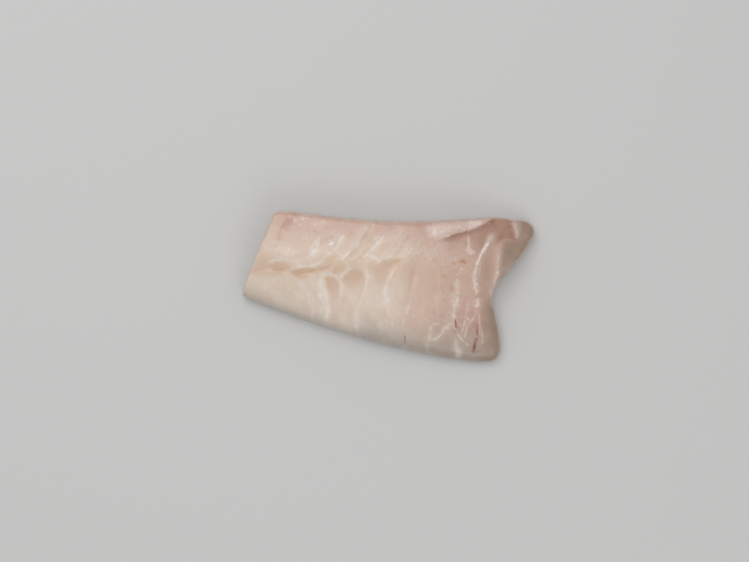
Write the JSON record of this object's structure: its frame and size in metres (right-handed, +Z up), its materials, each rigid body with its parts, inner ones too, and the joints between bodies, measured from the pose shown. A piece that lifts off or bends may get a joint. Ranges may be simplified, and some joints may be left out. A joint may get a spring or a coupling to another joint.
{
  "type": "cod fillet",
  "caption": "Raw skinless cod fillet portion, cut square at one end and notched at the head end, with flaked white flesh on top and a flat underside.",
  "frame": {"origin": "middle of the flat underside, at the centre of the outline's box", "axes": "+X along the fillet from the square cut to the head end, +Y across it from the belly edge to the back edge, +Z up out of the flaked face"},
  "size_m": [0.18, 0.0933, 0.0243],
  "materials": {
    "flesh": "moist satin raw flesh, slightly translucent at its thin edges"
  },
  "bodies": {
    "root": {"fillet": "flesh"}
  },
  "joints": []
}
